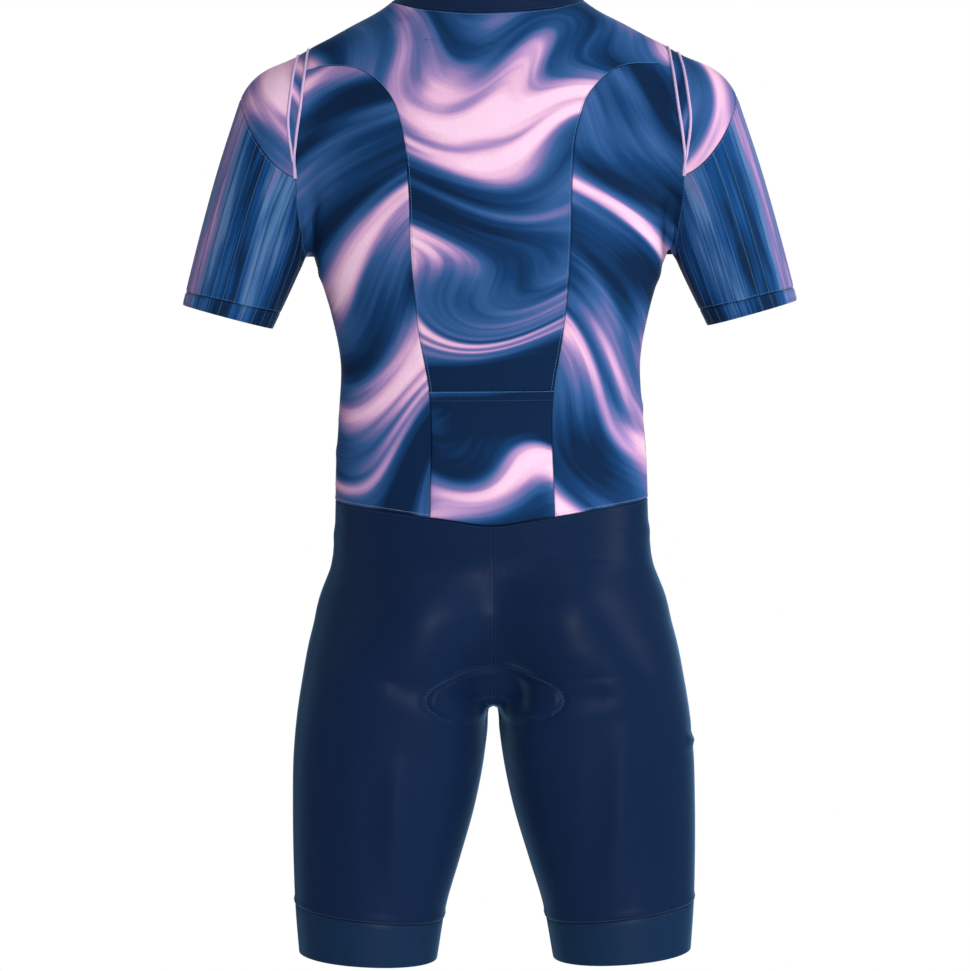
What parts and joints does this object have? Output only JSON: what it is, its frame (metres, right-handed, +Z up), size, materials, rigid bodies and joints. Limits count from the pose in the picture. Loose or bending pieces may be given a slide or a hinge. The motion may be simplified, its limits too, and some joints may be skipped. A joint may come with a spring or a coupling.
{
  "type": "short-sleeve triathlon suit",
  "caption": "Close-fitting short-sleeve, knee-length triathlon suit in its worn shape, hollow, with a stand collar, front zip, back pocket and gripper hems.",
  "frame": {"origin": "middle of the neck opening at the height of the collar seam, where the wearer's neck and shoulders carry the suit", "axes": "+Z up, -Y is the suit's front, +X is the wearer's left"},
  "size_m": [0.6088, 0.2404, 0.9873],
  "materials": {
    "printed_cloth": "printed stretch knit, soft sheen",
    "navy_cloth": "smooth coated stretch knit, satin sheen",
    "ribbed_cloth": "lengthwise ribbed printed knit",
    "gripper_band": "smooth bonded band, satin",
    "pad_foam": "brushed foam pad",
    "zip_tape": "woven tape with coil teeth",
    "zip_metal": "dark satin"
  },
  "bodies": {
    "suit": {"collar": "navy_cloth", "back_centre": "printed_cloth", "back_side_left": "printed_cloth", "back_side_right": "printed_cloth", "front_left": "printed_cloth", "front_right": "printed_cloth", "back_pocket": "printed_cloth", "sleeve_cap_left": "printed_cloth", "sleeve_cap_right": "printed_cloth", "sleeve_left": "ribbed_cloth", "sleeve_right": "ribbed_cloth", "cuff_left": "ribbed_cloth", "cuff_right": "ribbed_cloth", "shorts_left": "navy_cloth", "shorts_right": "navy_cloth", "leg_band_left": "gripper_band", "leg_band_right": "gripper_band", "seat_pad": "pad_foam", "front_zip": "zip_tape", "zip_slider": "zip_metal"},
    "pull_tab": {"zip_pull": "zip_metal"}
  },
  "joints": [
    {"name": "pull_tab_hinge", "type": "hinge", "parent": "suit", "child": "pull_tab", "pos_m": [0, -0.0653, -0.01578], "axis": [-1, 0, 0], "range_deg": [0, 150]}
  ]
}
